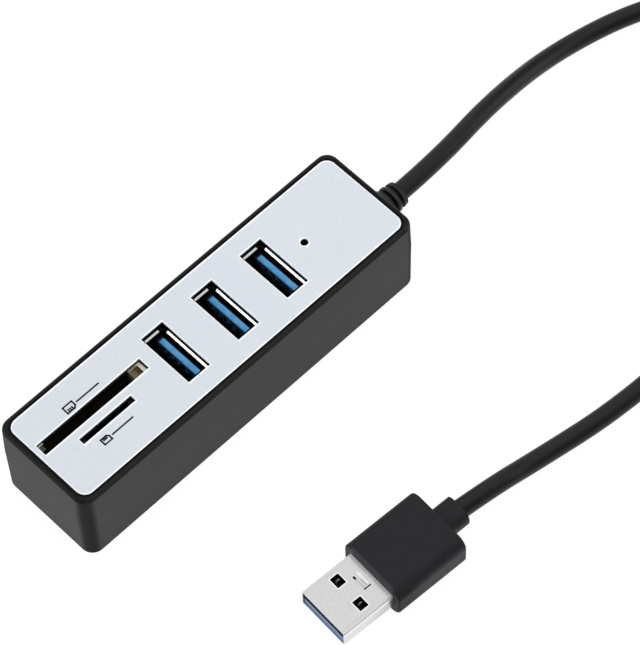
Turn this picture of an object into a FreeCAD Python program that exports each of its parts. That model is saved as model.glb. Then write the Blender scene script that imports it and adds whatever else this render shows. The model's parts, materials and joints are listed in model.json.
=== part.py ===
import FreeCAD, Part
import math
import os
import re
import Sketcher

# A desk hub with upright ports and two card slots in its top, and a short cable with a plug.
# Millimetres, +Z up. The origin is under the middle of the housing, on the table.
# The slots are at the near end (-Y), the cable leaves the far end (+Y).

driving_sizes = {
    # housing, measured at its widest level, the mould line
    "body_width": 25.4,
    "body_length": 89.8,
    "body_height": 21.1,
    "mould_line": 13.0,
    "draft_up": 1.45,
    "draft_down": 0.7,
    "corner_round": 2.9,
    "rim_round": 0.9,
    "foot_round": 0.4,
    "side_wall": 2.0,
    "top_wall": 2.0,
    "lip_thickness": 0.5,
    # metal plate let into the top
    "rim_width": 1.6,
    "plate_thickness": 0.4,
    "plate_round": 2.2,
    "plate_gap": 0.05,
    # cover under the housing, with posts for the board
    "cover_thickness": 1.6,
    "cover_gap": 0.1,
    "post_height": 1.8,
    "post_radius": 1.5,
    "post_inset": 3.0,
    # boards
    "board_thickness": 1.6,
    "board_gap": 0.3,
    "card_board_thickness": 1.6,
    "card_board_shift": 0.1,
    "card_board_drop": 1.6,
    # port openings in the top
    "port_width": 13.6,
    "port_height": 5.65,
    "port_pitch": 13.32,
    "port_gap": 3.19,
    # port shells, tongues and their contacts
    "mouth_width": 12.5,
    "mouth_height": 5.12,
    "port_sheet": 0.35,
    "port_lead": 0.3,
    "port_notch": 1.2,
    "port_shift": 0.235,
    "port_corner": 0.8,
    "shell_clearance": 0.2,
    "tongue_width": 11.1,
    "tongue_thickness": 1.7,
    "tongue_shift": 0.87,
    "tongue_depth": 2.0,
    "port_base_height": 5.0,
    "port_base_gap": 0.05,
    "contact_width": 1.0,
    "contact_thickness": 0.12,
    "contact_spread": 1.0,
    "contact_pitch": 2.5,
    "contact_setback": 1.9,
    "contact_foot": 1.6,
    "fast_contact_width": 0.6,
    "fast_contact_length": 1.0,
    "fast_contact_pitch": 2.0,
    "fast_contact_setback": 0.5,
    # slot for the large card and its socket
    "slot_inset": 1.25,
    "large_slot_length": 27.1,
    "large_slot_width": 2.83,
    "large_card_width": 24.25,
    "large_card_thickness": 2.45,
    "large_base_thickness": 0.4,
    "large_rail": 0.6,
    "large_guide_height": 8.0,
    "large_contact_pitch": 2.5,
    "large_contact_width": 1.1,
    "leaf_window": 1.4,
    "leaf_depth": 1.5,
    "leaf_thickness": 0.25,
    "card_sheet": 0.2,
    "card_floor": 1.0,
    "spring_thickness": 0.15,
    "spring_length": 6.0,
    "spring_rise": 3.0,
    "socket_clearance": 0.2,
    # slot for the small card and its socket
    "small_slot_length": 13.55,
    "small_slot_width": 1.49,
    "small_card_width": 11.3,
    "small_card_thickness": 1.15,
    "small_base_thickness": 0.35,
    "small_rail": 1.95,
    "small_contact_pitch": 1.1,
    "small_contact_width": 0.5,
    # light under its hole in the top
    "led_gap": 8.415,
    "led_hole": 1.65,
    "led_radius": 1.5,
    "led_height": 4.0,
    "lead_side": 0.45,
    "lead_spread": 1.27,
    # parts on the main board
    "hub_chip_side": 6.0,
    "reader_chip_side": 5.0,
    "chip_height": 0.9,
    "crystal_length": 5.0,
    "crystal_width": 3.2,
    "crystal_height": 1.2,
    "capacitor_length": 1.6,
    "capacitor_width": 0.8,
    "part_margin": 1.9,
    # cable, its gland and the wires behind it
    "cable_diameter": 4.1,
    "gland_height": 9.6,
    "gland_neck": 2.7,
    "gland_bore_gap": 0.1,
    "gland_flange": 3.6,
    "gland_flange_depth": 1.3,
    "gland_collar": 3.3,
    "gland_collar_length": 3.85,
    "gland_groove": 2.3,
    "gland_groove_length": 0.8,
    "gland_rib": 3.1,
    "gland_rib_length": 0.9,
    "gland_tip": 2.9,
    "gland_tip_length": 1.15,
    "wire_diameter": 1.0,
    "wire_pitch": 1.25,
    "wire_reach": 1.6,
    "wire_bend": 2.0,
    # plug on the cable's end: the place is the middle of its moulding's front face
    "plug_x": 55.9,
    "plug_y": -11.2,
    "plug_yaw": 3.45,
    "grip_width": 16.0,
    "grip_height": 8.8,
    "grip_length": 17.5,
    "grip_corner": 2.6,
    "grip_edge": 0.5,
    "neck_width": 6.4,
    "neck_height": 5.0,
    "neck_length": 5.0,
    "neck_corner": 2.0,
    "plug_width": 12.2,
    "plug_height": 4.5,
    "plug_length": 12.4,
    "plug_sheet": 0.3,
    "plug_corner": 0.45,
    "window_width": 2.5,
    "window_length": 2.1,
    "window_spread": 3.25,
    "window_setback": 6.7,
    "plug_core_height": 1.95,
    "plug_core_gap": 0.05,
    "plug_core_setback": 0.3,
    "plug_contact_length": 6.0,
    "plug_contact_setback": 1.2,
    "plug_fast_length": 2.0,
    "plug_fast_setback": 8.2,
}

# Corners of the cable's route between its first two points and its last two, laid by hand.
cable_corners = [
    (-2.4, 82.5, 8.6),
    (-4.75, 104.0, 2.05),
    (0.7, 125.0, 2.05),
    (13.0, 145.0, 2.05),
    (35.0, 155.5, 2.05),
    (56.0, 146.5, 2.05),
    (66.0, 124.0, 2.05),
    (65.5, 98.0, 2.05),
    (64.3, 73.0, 2.05),
    (62.6, 50.0, 2.05),
    (59.85, 30.5, 2.05),
]
cable_exit_run = 11.0
cable_plug_run = 8.75
arc_share = 0.45
port_count = 3
capacitor_count = 5
wire_count = 4
large_contact_count = 9
small_contact_count = 8

doc = FreeCAD.newDocument("usb_hub_card_reader")
sheet = doc.addObject("Spreadsheet::Sheet", "Sizes")
for row, (alias, size) in enumerate(driving_sizes.items(), start=1):
    sheet.set(f"A{row}", alias)
    sheet.set(f"B{row}", str(size))
    sheet.setAlias(f"B{row}", alias)
doc.recompute()

nodes = []


def formula(text):
    """Puts the sheet's name before each of its aliases in a formula."""
    return re.sub(r"\b([a-z]+(?:_[a-z]+)+)\b", r"Sizes.\1", str(text))


def number(text):
    """The value of a formula of the sheet's aliases."""
    return float(sheet.evalExpression(formula(text)))


def bind(thing, **formulas):
    for prop, text in formulas.items():
        thing.setExpression(prop, formula(text))
    return thing


def place(thing, x, y, z):
    for axis, text in zip("xyz", (x, y, z)):
        thing.setExpression(f"Placement.Base.{axis}", formula(text))
    return thing


def node(name, thing):
    """Names a finished sub-part; the name is its file's name too."""
    thing.Label = name
    nodes.append(thing)
    return thing


def box(name, size, at):
    """A block: its size along X, Y and Z, the middle of its plan, and its lowest level."""
    block = doc.addObject("Part::Box", name)
    bind(block, Length=size[0], Width=size[1], Height=size[2])
    return place(block, f"{at[0]} - ({size[0]}) / 2", f"{at[1]} - ({size[1]}) / 2", at[2])


def upright(name, radius, height, at):
    """A cylinder that stands on its place."""
    pin = doc.addObject("Part::Cylinder", name)
    bind(pin, Radius=radius, Height=height)
    return place(pin, *at)


def fuse(name, things):
    joined = doc.addObject("Part::MultiFuse", name)
    joined.Shapes = things
    joined.Refine = True
    return joined


def cut(name, base, tools):
    """The base with every tool taken away."""
    result = doc.addObject("Part::Cut", name)
    result.Base = base
    result.Tool = tools[0] if len(tools) == 1 else fuse(name + "_tools", tools)
    return result


def group(name, things):
    """Separate solids that share one node."""
    together = doc.addObject("Part::Compound", name)
    together.Links = things
    return together


def origin_plane(body, role):
    return next(plane for plane in body.Origin.OriginFeatures if plane.Role == role)


def rounded_outline(body, name, width, length, corner):
    """A sketch of a rectangle with round corners, centred on the body's Z axis."""
    sketch = body.newObject("Sketcher::SketchObject", name)
    sketch.AttachmentSupport = [(origin_plane(body, "XY_Plane"), "")]
    sketch.MapMode = "FlatFace"
    half_x, half_y, radius = number(width) / 2, number(length) / 2, number(corner)
    inner_x, inner_y = half_x - radius, half_y - radius
    up = FreeCAD.Vector(0, 0, 1)
    flat = FreeCAD.Vector
    sides = [
        (flat(-inner_x, -half_y), flat(inner_x, -half_y)),
        (flat(half_x, -inner_y), flat(half_x, inner_y)),
        (flat(inner_x, half_y), flat(-inner_x, half_y)),
        (flat(-half_x, inner_y), flat(-half_x, -inner_y)),
    ]
    middles = [
        flat(inner_x, -inner_y),
        flat(inner_x, inner_y),
        flat(-inner_x, inner_y),
        flat(-inner_x, -inner_y),
    ]
    lines = [sketch.addGeometry(Part.LineSegment(*ends), False) for ends in sides]
    arcs = []
    for turn, middle in enumerate(middles):
        start = math.radians(270 + 90 * turn)
        circle = Part.Circle(middle, up, radius)
        arc = Part.ArcOfCircle(circle, start, start + math.pi / 2)
        arcs.append(sketch.addGeometry(arc, False))
    for turn in range(4):
        following = lines[(turn + 1) % 4]
        sketch.addConstraint(Sketcher.Constraint("Tangent", lines[turn], 2, arcs[turn], 1))
        sketch.addConstraint(Sketcher.Constraint("Tangent", arcs[turn], 2, following, 1))
    for turn in (0, 2):
        sketch.addConstraint(Sketcher.Constraint("Horizontal", lines[turn]))
        sketch.addConstraint(Sketcher.Constraint("Vertical", lines[turn + 1]))
    for turn in (1, 2, 3):
        sketch.addConstraint(Sketcher.Constraint("Equal", arcs[0], arcs[turn]))
    sketch.addConstraint(Sketcher.Constraint("Symmetric", arcs[0], 3, arcs[2], 3, -1, 1))
    sized = {
        "corner": (Sketcher.Constraint("Radius", arcs[0], radius), corner),
        "across": (Sketcher.Constraint("DistanceX", lines[3], 1, lines[1], 1, 2 * half_x), width),
        "along": (Sketcher.Constraint("DistanceY", lines[0], 1, lines[2], 1, 2 * half_y), length),
    }
    for label, (constraint, text) in sized.items():
        sketch.renameConstraint(sketch.addConstraint(constraint), label)
        sketch.setExpression(f"Constraints.{label}", formula(text))
    return sketch


def pad(body, name, sketch, height):
    feature = body.newObject("PartDesign::Pad", name)
    feature.Profile = sketch
    return bind(feature, Length=height)


def edges_at(shape, level):
    """Names of the edges that lie in the plane at one level."""
    names = []
    for index, edge in enumerate(shape.Edges, start=1):
        bounds = edge.BoundBox
        if abs(bounds.ZMin - level) < 1e-4 and abs(bounds.ZMax - level) < 1e-4:
            names.append(f"Edge{index}")
    return names


def soften(body, name, kind, base, level, size):
    """Rounds or bevels the edges of the body that lie at one level."""
    doc.recompute()
    feature = body.newObject(f"PartDesign::{kind}", name)
    feature.Base = (base, edges_at(base.Shape, number(level)))
    return bind(feature, **{"Radius" if kind == "Fillet" else "Size": size})


def rounded_block(name, size, corner, at, edge=None):
    """A block with round upright corners, and round ends where an edge radius is given."""
    body = doc.addObject("PartDesign::Body", name)
    outline = rounded_outline(body, name + "_outline", size[0], size[1], corner)
    feature = pad(body, name + "_pad", outline, size[2])
    if edge:
        feature = soften(body, name + "_foot", "Fillet", feature, "0", edge)
        soften(body, name + "_head", "Fillet", feature, size[2], edge)
    return place(body, *at)


def sheet_tube(name, size, sheet_size, corner, at, lead=None):
    """A folded sheet-metal tube; size is its outside. A lead-in bevels the mouth at its top."""
    body = doc.addObject("PartDesign::Body", name)
    outer = rounded_outline(body, name + "_outside", size[0], size[1], corner)
    pad(body, name + "_pad", outer, size[2])
    mouth = (f"({size[0]}) - 2 * {sheet_size}", f"({size[1]}) - 2 * {sheet_size}")
    inner = rounded_outline(body, name + "_inside", *mouth, f"{corner} - {sheet_size}")
    doc.recompute()
    bore = body.newObject("PartDesign::Pocket", name + "_bore")
    bore.Profile = inner
    bore.Reversed = True
    bind(bore, Length=size[2])
    if lead:
        doc.recompute()
        level = number(size[2])
        reach = number(mouth[0]) / 2 + 1e-4
        shape = bore.Shape
        names = [edge for edge in edges_at(shape, level)
                 if abs(shape.getElement(edge).BoundBox.XMax) < reach
                 and abs(shape.getElement(edge).BoundBox.XMin) < reach
                 and shape.getElement(edge).BoundBox.YMax < number(mouth[1]) / 2 + 1e-4
                 and shape.getElement(edge).BoundBox.YMin > -number(mouth[1]) / 2 - 1e-4]
        bevel = body.newObject("PartDesign::Chamfer", name + "_lead")
        bevel.Base = (bore, names)
        bind(bevel, Size=lead)
    return place(body, *at)


# Levels and places that several pieces share, as formulas of the driving sizes.
plate_bottom = "(body_height - plate_thickness)"
lip_bottom = f"({plate_bottom} - lip_thickness)"
ceiling = "(body_height - top_wall)"
board_bottom = "(cover_thickness + post_height)"
board_top = f"({board_bottom} + board_thickness)"
socket_height = f"({lip_bottom} - {board_top})"
cavity_width = "(body_width - 2 * side_wall)"
cavity_length = "(body_length - 2 * side_wall)"
slot_near = "(rim_width - body_length / 2 + slot_inset)"
slot_far = f"({slot_near} + large_slot_length)"
slot_middle = f"({slot_near} + large_slot_length / 2)"
board_face_left = "(-card_board_shift - card_board_thickness / 2)"
board_face_right = "(card_board_thickness / 2 - card_board_shift)"
large_slot_x = f"({board_face_left} - large_base_thickness - large_card_thickness / 2)"
small_slot_x = f"({board_face_right} + small_base_thickness + small_card_thickness / 2)"
port_shell_width = "(mouth_width + 2 * port_sheet)"
port_shell_height = "(mouth_height + 2 * port_sheet)"
plate_width = "(body_width - 2 * rim_width)"
plate_length = "(body_length - 2 * rim_width)"

# Outer sizes of the card sockets; their seats in the top are these with a clearance.
large_socket_near = f"({slot_near} - large_rail)"
large_socket_far = f"({slot_far} + large_rail)"
large_socket_length = f"({large_socket_far} - {large_socket_near})"
large_socket_y = f"(({large_socket_near} + {large_socket_far}) / 2)"
large_depth = "(large_base_thickness + large_card_thickness)"
large_seat_width = f"({large_depth} + card_sheet + 2 * socket_clearance)"
large_seat_length = f"({large_socket_length} + 2 * socket_clearance)"
large_seat_x = f"({board_face_left} - ({large_depth} + card_sheet) / 2)"
small_depth = "(small_base_thickness + small_card_thickness)"
small_socket_length = "(small_card_width + 2 * small_rail)"
small_seat_width = f"({small_depth} + card_sheet + 2 * socket_clearance)"
small_seat_length = f"({small_socket_length} + 2 * socket_clearance)"
small_seat_x = f"({board_face_right} + ({small_depth} + card_sheet) / 2)"


def port_middle(index):
    """Where a port opening's middle is along Y; port 0 is next to the card slots."""
    return f"({slot_far} + port_gap + port_height / 2 + {index} * port_pitch)"


led_y = f"({port_middle(port_count - 1)} + led_gap)"


def top_openings(name, depth, bottom):
    """Cutters for every opening in the top, from one level up."""
    cutters = []
    for index in range(port_count):
        size = ("port_width", "port_height", depth)
        cutters.append(box(f"{name}_port_{index + 1}", size, ("0", port_middle(index), bottom)))
    large = ("large_slot_width", "large_slot_length", depth)
    cutters.append(box(f"{name}_large_slot", large, (large_slot_x, slot_middle, bottom)))
    small = ("small_slot_width", "small_slot_length", depth)
    cutters.append(box(f"{name}_small_slot", small, (small_slot_x, slot_middle, bottom)))
    cutters.append(upright(f"{name}_led", "led_hole / 2", depth, ("0", led_y, bottom)))
    return cutters


def make_housing():
    """A five-sided moulding, drafted both ways from its mould line, open below."""
    body = doc.addObject("PartDesign::Body", "housing_form")
    outline = rounded_outline(body, "housing_outline", "body_width", "body_length", "corner_round")
    feature = body.newObject("PartDesign::Pad", "housing_pad")
    feature.Profile = outline
    feature.SideType = "Two sides"
    bind(feature, Length="body_height - mould_line", Length2="mould_line",
         TaperAngle="-draft_up", TaperAngle2="-draft_down")
    top = "body_height - mould_line"
    feature = soften(body, "housing_rim", "Fillet", feature, top, "rim_round")
    soften(body, "housing_foot", "Fillet", feature, "-mould_line", "foot_round")
    place(body, "0", "0", "mould_line")

    cavity_round = "corner_round - side_wall"
    cavity = rounded_block("cavity", (cavity_width, cavity_length, ceiling), cavity_round,
                           ("0", "0", "0"))
    recess_size = (f"{plate_width} + 2 * plate_gap", f"{plate_length} + 2 * plate_gap",
                   "plate_thickness")
    recess = rounded_block("plate_recess", recess_size, "plate_round + plate_gap",
                           ("0", "0", plate_bottom))
    tools = [cavity, recess] + top_openings("top", "top_wall", ceiling)
    depth = f"{lip_bottom} - {ceiling}"
    for index in range(port_count):
        size = (f"{port_shell_width} + 2 * shell_clearance",
                f"{port_shell_height} + 2 * shell_clearance", depth)
        middle = f"{port_middle(index)} - port_shift"
        tools.append(box(f"port_seat_{index + 1}", size, ("0", middle, ceiling)))
    tools += [
        box("large_socket_seat", (large_seat_width, large_seat_length, depth),
            (large_seat_x, large_socket_y, ceiling)),
        box("small_socket_seat", (small_seat_width, small_seat_length, depth),
            (small_seat_x, slot_middle, ceiling)),
    ]
    gland_hole = upright("gland_hole", "gland_neck + gland_bore_gap", "2 * side_wall", ("0", "0", "0"))
    gland_hole.Placement.Rotation = FreeCAD.Rotation(FreeCAD.Vector(1, 0, 0), -90)
    place(gland_hole, "0", f"{cavity_length} / 2 - side_wall / 2", "gland_height")
    node("housing_shell", cut("housing_cut", body, tools + [gland_hole]))


def make_face_plate():
    """The metal plate, flush with the rim, with the same openings as the top under it."""
    blank = rounded_block("plate_blank", (plate_width, plate_length, "plate_thickness"),
                          "plate_round", ("0", "0", plate_bottom))
    node("face_plate", cut("plate_cut", blank, top_openings("plate", "plate_thickness", plate_bottom)))


def make_base_cover():
    """The plate that closes the housing below; its posts carry the main board."""
    size = (f"{cavity_width} - 2 * cover_gap", f"{cavity_length} - 2 * cover_gap", "cover_thickness")
    pieces = [rounded_block("cover_plate", size, "corner_round - side_wall - cover_gap",
                            ("0", "0", "0"))]
    reach_x = f"({cavity_width} / 2 - post_inset)"
    reach_y = f"({cavity_length} / 2 - post_inset)"
    for side in (-1, 1):
        for end in (-1, 1):
            at = (f"{side} * {reach_x}", f"{end} * {reach_y}", "cover_thickness")
            pieces.append(upright(f"post_{len(pieces)}", "post_radius", "post_height", at))
    node("base_cover", fuse("cover_with_posts", pieces))


def make_main_board():
    size = (f"{cavity_width} - 2 * board_gap", f"{cavity_length} - 2 * board_gap", "board_thickness")
    node("main_board", rounded_block("board", size, "corner_round - side_wall - board_gap",
                                     ("0", "0", board_bottom)))


def contact_rows(name, face_y, tip, setbacks, lengths, thickness, upward):
    """Four broad contacts and five narrow ones behind or before them, on one flat face."""
    strips = []
    middle = f"{face_y} + {upward} * {thickness} / 2"
    for step in (-1.5, -0.5, 0.5, 1.5):
        inner = f"{math.copysign(1, step):.0f} * contact_spread"
        outer = f"{math.copysign(1, step):.0f} * (contact_spread + contact_pitch)"
        x = inner if abs(step) < 1 else outer
        size = ("contact_width", thickness, lengths[0])
        level = f"{tip} - {setbacks[0]} - {lengths[0]}"
        strips.append(box(f"{name}_broad_{len(strips) + 1}", size, (x, middle, level)))
    for step in range(-2, 3):
        size = ("fast_contact_width", thickness, lengths[1])
        level = f"{tip} - {setbacks[1]} - {lengths[1]}"
        at = (f"{step} * fast_contact_pitch", middle, level)
        strips.append(box(f"{name}_narrow_{len(strips) + 1}", size, at))
    return strips


def make_port(index):
    """An upright port: shell with four separate lips, base with its tongue, and nine contacts."""
    name = f"port_{index + 1}"
    middle = f"({port_middle(index)} - port_shift)"
    tube = sheet_tube(name + "_tube", (port_shell_width, port_shell_height, socket_height),
                      "port_sheet", "port_corner", ("0", middle, board_top), "port_lead")
    notches = []
    for side in (-1, 1):
        for end in (-1, 1):
            at = (f"{side} * {port_shell_width} / 2", f"{middle} + {end} * {port_shell_height} / 2",
                  f"{lip_bottom} - port_notch")
            size = ("2 * port_notch", "2 * port_notch", "port_notch")
            notches.append(box(f"{name}_notch_{len(notches) + 1}", size, at))
    node(name + "_shell", cut(name + "_notched", tube, notches))

    base_size = ("mouth_width - 2 * port_base_gap", "mouth_height - 2 * port_base_gap",
                 "port_base_height")
    base = rounded_block(name + "_base", base_size, "port_corner - port_sheet - port_base_gap",
                         ("0", middle, board_top))
    tongue_bottom = f"({board_top} + port_base_height)"
    tongue_top = "(body_height - tongue_depth)"
    tongue_y = f"({middle} + tongue_shift)"
    tongue_size = ("tongue_width", "tongue_thickness", f"{tongue_top} - {tongue_bottom}")
    tongue = box(name + "_tongue", tongue_size, ("0", tongue_y, tongue_bottom))
    node(name + "_insulator", fuse(name + "_moulding", [base, tongue]))

    face = f"({tongue_y} - tongue_thickness / 2)"
    contact_length = f"({tongue_top} - {tongue_bottom} - contact_setback - contact_foot)"
    strips = contact_rows(name + "_contact", face, tongue_top,
                          ("contact_setback", "fast_contact_setback"),
                          (contact_length, "fast_contact_length"), "contact_thickness", -1)
    node(name + "_contacts", group(name + "_contact_group", strips))


def make_card_board():
    """The small upright board between the two card sockets, standing on the main board."""
    size = ("card_board_thickness", large_socket_length, f"{socket_height} - card_board_drop")
    node("card_board", box("upright_board", size, ("-card_board_shift", large_socket_y, board_top)))


def spring_row(name, count, pitch, width, face_x, inward, middle):
    """Contact springs of a card socket, lying on its base, side by side along Y."""
    springs = []
    x = f"{face_x} + {inward} * spring_thickness / 2"
    for index in range(count):
        offset = index - (count - 1) / 2
        size = ("spring_thickness", width, "spring_length")
        at = (x, f"{middle} + {offset} * {pitch}", f"{board_top} + card_floor + spring_rise")
        springs.append(box(f"{name}_{index + 1}", size, at))
    return springs


def make_large_card_socket():
    """Moulded base with a pocket for the card, a pale guide with a switch leaf, a steel cover."""
    base_x = f"({board_face_left} - large_base_thickness / 2)"
    pocket_face = f"({board_face_left} - large_base_thickness)"
    pocket_x = f"({pocket_face} - large_card_thickness / 2)"
    guide_near = f"({slot_near} + large_card_width)"
    guide_length = f"({large_socket_far} - {guide_near})"
    guide_y = f"(({large_socket_far} + {guide_near}) / 2)"
    guide_bottom = f"({lip_bottom} - large_guide_height)"
    depth = "large_card_thickness"
    pieces = [
        box("large_base", ("large_base_thickness", large_socket_length, socket_height),
            (base_x, large_socket_y, board_top)),
        box("large_floor", (depth, large_socket_length, "card_floor"),
            (pocket_x, large_socket_y, board_top)),
        box("large_near_rail", (depth, "large_rail", socket_height),
            (pocket_x, f"{slot_near} - large_rail / 2", board_top)),
        box("large_far_rail", (depth, guide_length, f"{guide_bottom} - {board_top}"),
            (pocket_x, guide_y, board_top)),
    ]
    node("large_card_socket", fuse("large_moulding", pieces))

    guide = box("guide_block", (depth, guide_length, "large_guide_height"),
                (pocket_x, guide_y, guide_bottom))
    window_y = f"({guide_near} + large_rail + leaf_window / 2)"
    window = box("leaf_pocket", ("leaf_window", "leaf_window", "leaf_depth"),
                 (pocket_x, window_y, f"{lip_bottom} - leaf_depth"))
    node("card_guide", cut("guide_with_pocket", guide, [window]))
    leaf_size = ("leaf_window - 2 * leaf_thickness", "leaf_thickness", "leaf_depth - leaf_thickness")
    node("card_switch_leaf", box("leaf", leaf_size, (pocket_x, window_y, f"{lip_bottom} - leaf_depth")))

    cover_x = f"({pocket_face} - large_card_thickness - card_sheet / 2)"
    node("large_card_shell", box("large_cover", ("card_sheet", large_socket_length, socket_height),
                                 (cover_x, large_socket_y, board_top)))
    springs = spring_row("large_spring", large_contact_count, "large_contact_pitch",
                         "large_contact_width", pocket_face, -1,
                         f"({slot_near} + large_card_width / 2)")
    node("large_card_contacts", group("large_spring_group", springs))


def make_small_card_socket():
    """The same for the small card, on the other side of the upright board."""
    base_x = f"({board_face_right} + small_base_thickness / 2)"
    pocket_face = f"({board_face_right} + small_base_thickness)"
    pocket_x = f"({pocket_face} + small_card_thickness / 2)"
    depth = "small_card_thickness"
    pieces = [
        box("small_base", ("small_base_thickness", small_socket_length, socket_height),
            (base_x, slot_middle, board_top)),
        box("small_floor", (depth, small_socket_length, "card_floor"),
            (pocket_x, slot_middle, board_top)),
    ]
    for side, end in ((-1, "near"), (1, "far")):
        y = f"{slot_middle} + {side} * (small_card_width + small_rail) / 2"
        pieces.append(box(f"small_{end}_rail", (depth, "small_rail", socket_height),
                          (pocket_x, y, board_top)))
    node("small_card_socket", fuse("small_moulding", pieces))

    cover_x = f"({pocket_face} + small_card_thickness + card_sheet / 2)"
    node("small_card_shell", box("small_cover", ("card_sheet", small_socket_length, socket_height),
                                 (cover_x, slot_middle, board_top)))
    springs = spring_row("small_spring", small_contact_count, "small_contact_pitch",
                         "small_contact_width", pocket_face, 1, slot_middle)
    node("small_card_contacts", group("small_spring_group", springs))


def make_light():
    """The status light, against the top under its hole, on two long leads."""
    bottom = f"({ceiling} - led_height)"
    node("status_led", upright("lamp", "led_radius", "led_height", ("0", led_y, bottom)))
    leads = []
    for side in (-1, 1):
        size = ("lead_side", "lead_side", f"{bottom} - {board_top}")
        x = f"{side} * (lead_spread - lead_side / 2)"
        leads.append(box(f"lead_{len(leads) + 1}", size, (x, led_y, board_top)))
    node("led_leads", group("lead_pair", leads))


def make_board_parts():
    """Chips between the ports, the crystal beyond the light, and a row of capacitors."""
    between = f"(({port_middle(1)} + {port_middle(2)}) / 2 - port_shift)"
    hub_size = ("hub_chip_side", "hub_chip_side", "chip_height")
    node("hub_chip", box("hub_package", hub_size, ("0", between, board_top)))
    between = f"(({port_middle(0)} + {port_middle(1)}) / 2 - port_shift)"
    reader_size = ("reader_chip_side", "reader_chip_side", "chip_height")
    node("reader_chip", box("reader_package", reader_size, ("0", between, board_top)))
    edge_x = f"({cavity_width} / 2 - part_margin)"
    size = ("crystal_width", "crystal_length", "crystal_height")
    node("crystal", rounded_block("crystal_can", size, "crystal_width / 4",
                                  (f"crystal_width / 2 - {edge_x}", led_y, board_top)))
    row = []
    for index in range(capacitor_count):
        size = ("capacitor_width", "capacitor_length", "capacitor_width")
        y = f"{port_middle(0)} + {index} * port_pitch / 2"
        row.append(box(f"capacitor_{index + 1}", size, (edge_x, y, board_top)))
    node("capacitors", group("capacitor_row", row))


gland_steps = [
    ("gland_flange", "gland_flange_depth"),
    ("gland_neck", "(side_wall + cover_gap)"),
    ("gland_collar", "gland_collar_length"),
    ("gland_groove", "gland_groove_length"),
    ("gland_rib", "gland_rib_length"),
    ("gland_groove", "gland_groove_length"),
    ("gland_tip", "gland_tip_length"),
]
gland_inner = f"({cavity_length} / 2 - gland_flange_depth)"
gland_end = f"({gland_inner} + {' + '.join(length for radius, length in gland_steps)})"


def make_gland():
    """A moulded gland in the far wall: inner flange, neck, collar, and a ribbed tail."""
    discs = []
    start = gland_inner
    for radius, length in gland_steps:
        disc = upright(f"gland_step_{len(discs) + 1}", radius, length, ("0", "0", "0"))
        disc.Placement.Rotation = FreeCAD.Rotation(FreeCAD.Vector(1, 0, 0), -90)
        discs.append(place(disc, "0", start, "gland_height"))
        start = f"({start} + {length})"
    node("cable_gland", fuse("gland_steps", discs))


def rounded_path(points):
    """Straight runs joined by tangent arcs, each as large as its two runs allow."""
    edges = []
    radii = []
    start = points[0]
    for before, corner, after in zip(points, points[1:], points[2:]):
        back = before - corner
        ahead = after - corner
        reach = arc_share * min(back.Length, ahead.Length)
        turn = math.pi - back.getAngle(ahead)
        radius = reach / math.tan(turn / 2)
        back.normalize()
        ahead.normalize()
        inward = (back + ahead).normalize()
        entry = corner + back * reach
        leave = corner + ahead * reach
        crown = corner + inward * (radius / math.cos(turn / 2) - radius)
        edges.append(Part.LineSegment(start, entry).toShape())
        edges.append(Part.Arc(entry, crown, leave).toShape())
        radii.append(radius)
        start = leave
    edges.append(Part.LineSegment(start, points[-1]).toShape())
    return Part.Wire(edges), radii


def round_tube(path, diameter):
    """A round tube along a path, with its volume held against section times length."""
    start = path.Edges[0]
    heading = start.tangentAt(start.FirstParameter)
    ring = Part.Circle(start.valueAt(start.FirstParameter), heading, diameter / 2)
    tube = path.makePipeShell([Part.Wire(ring.toShape())], True, False)
    expected = math.pi * diameter ** 2 / 4 * path.Length
    if abs(tube.Volume / expected - 1) > 0.01:
        raise RuntimeError(f"tube volume {tube.Volume:.1f} is not {expected:.1f}")
    return tube


def shaped(name, shape):
    """A sub-part whose shape is worked out here rather than by a feature."""
    feature = doc.addObject("Part::Feature", name)
    feature.Shape = shape
    return feature


def make_wires():
    """The cable's cores: out of the gland inside the housing and down to the main board."""
    start_y, start_z, foot_z = number(gland_inner), number("gland_height"), number(board_top)
    bend, reach = number("wire_bend"), number("wire_reach")
    cores = []
    for index in range(wire_count):
        x = (index - (wire_count - 1) / 2) * number("wire_pitch")
        entry = FreeCAD.Vector(x, start_y - reach, start_z)
        leave = entry + FreeCAD.Vector(0, -bend, -bend)
        slant = bend * math.sqrt(0.5)
        crown = entry + FreeCAD.Vector(0, -slant, slant - bend)
        path = Part.Wire([
            Part.LineSegment(FreeCAD.Vector(x, start_y, start_z), entry).toShape(),
            Part.Arc(entry, crown, leave).toShape(),
            Part.LineSegment(leave, FreeCAD.Vector(x, leave.y, foot_z)).toShape(),
        ])
        cores.append(round_tube(path, number("wire_diameter")))
    node("cable_wires", shaped("wires", Part.makeCompound(cores)))


def make_cable():
    """The free cable: out of the gland, down to the table, round a loop and into the plug."""
    exit_point = FreeCAD.Vector(0, number(gland_end), number("gland_height"))
    yaw = math.radians(number("plug_yaw"))
    heading = FreeCAD.Vector(math.sin(yaw), math.cos(yaw), 0)
    grip = FreeCAD.Vector(number("plug_x"), number("plug_y"), number("grip_height / 2"))
    plug_end = grip + heading * number("grip_length + neck_length")
    points = [exit_point, exit_point + FreeCAD.Vector(0, cable_exit_run, 0)]
    points += [FreeCAD.Vector(*corner) for corner in cable_corners]
    points += [plug_end + heading * cable_plug_run, plug_end]
    path, radii = rounded_path(points)
    node("cable", shaped("cable_tube", round_tube(path, number("cable_diameter"))))
    print("cable route:", [tuple(round(v, 3) for v in point) for point in points])
    print("cable radii:", [round(radius, 1) for radius in radii])
    print("cable length:", round(path.Length, 1))


def lay_plug(thing):
    """Turns a plug piece, built standing on its moulding's front face, to lie on the table."""
    centre = "vector(plug_x; plug_y; grip_height / 2)"
    return bind(thing, Placement=f"placement({centre}; rotationz(-plug_yaw) * rotationx(90))")


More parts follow.
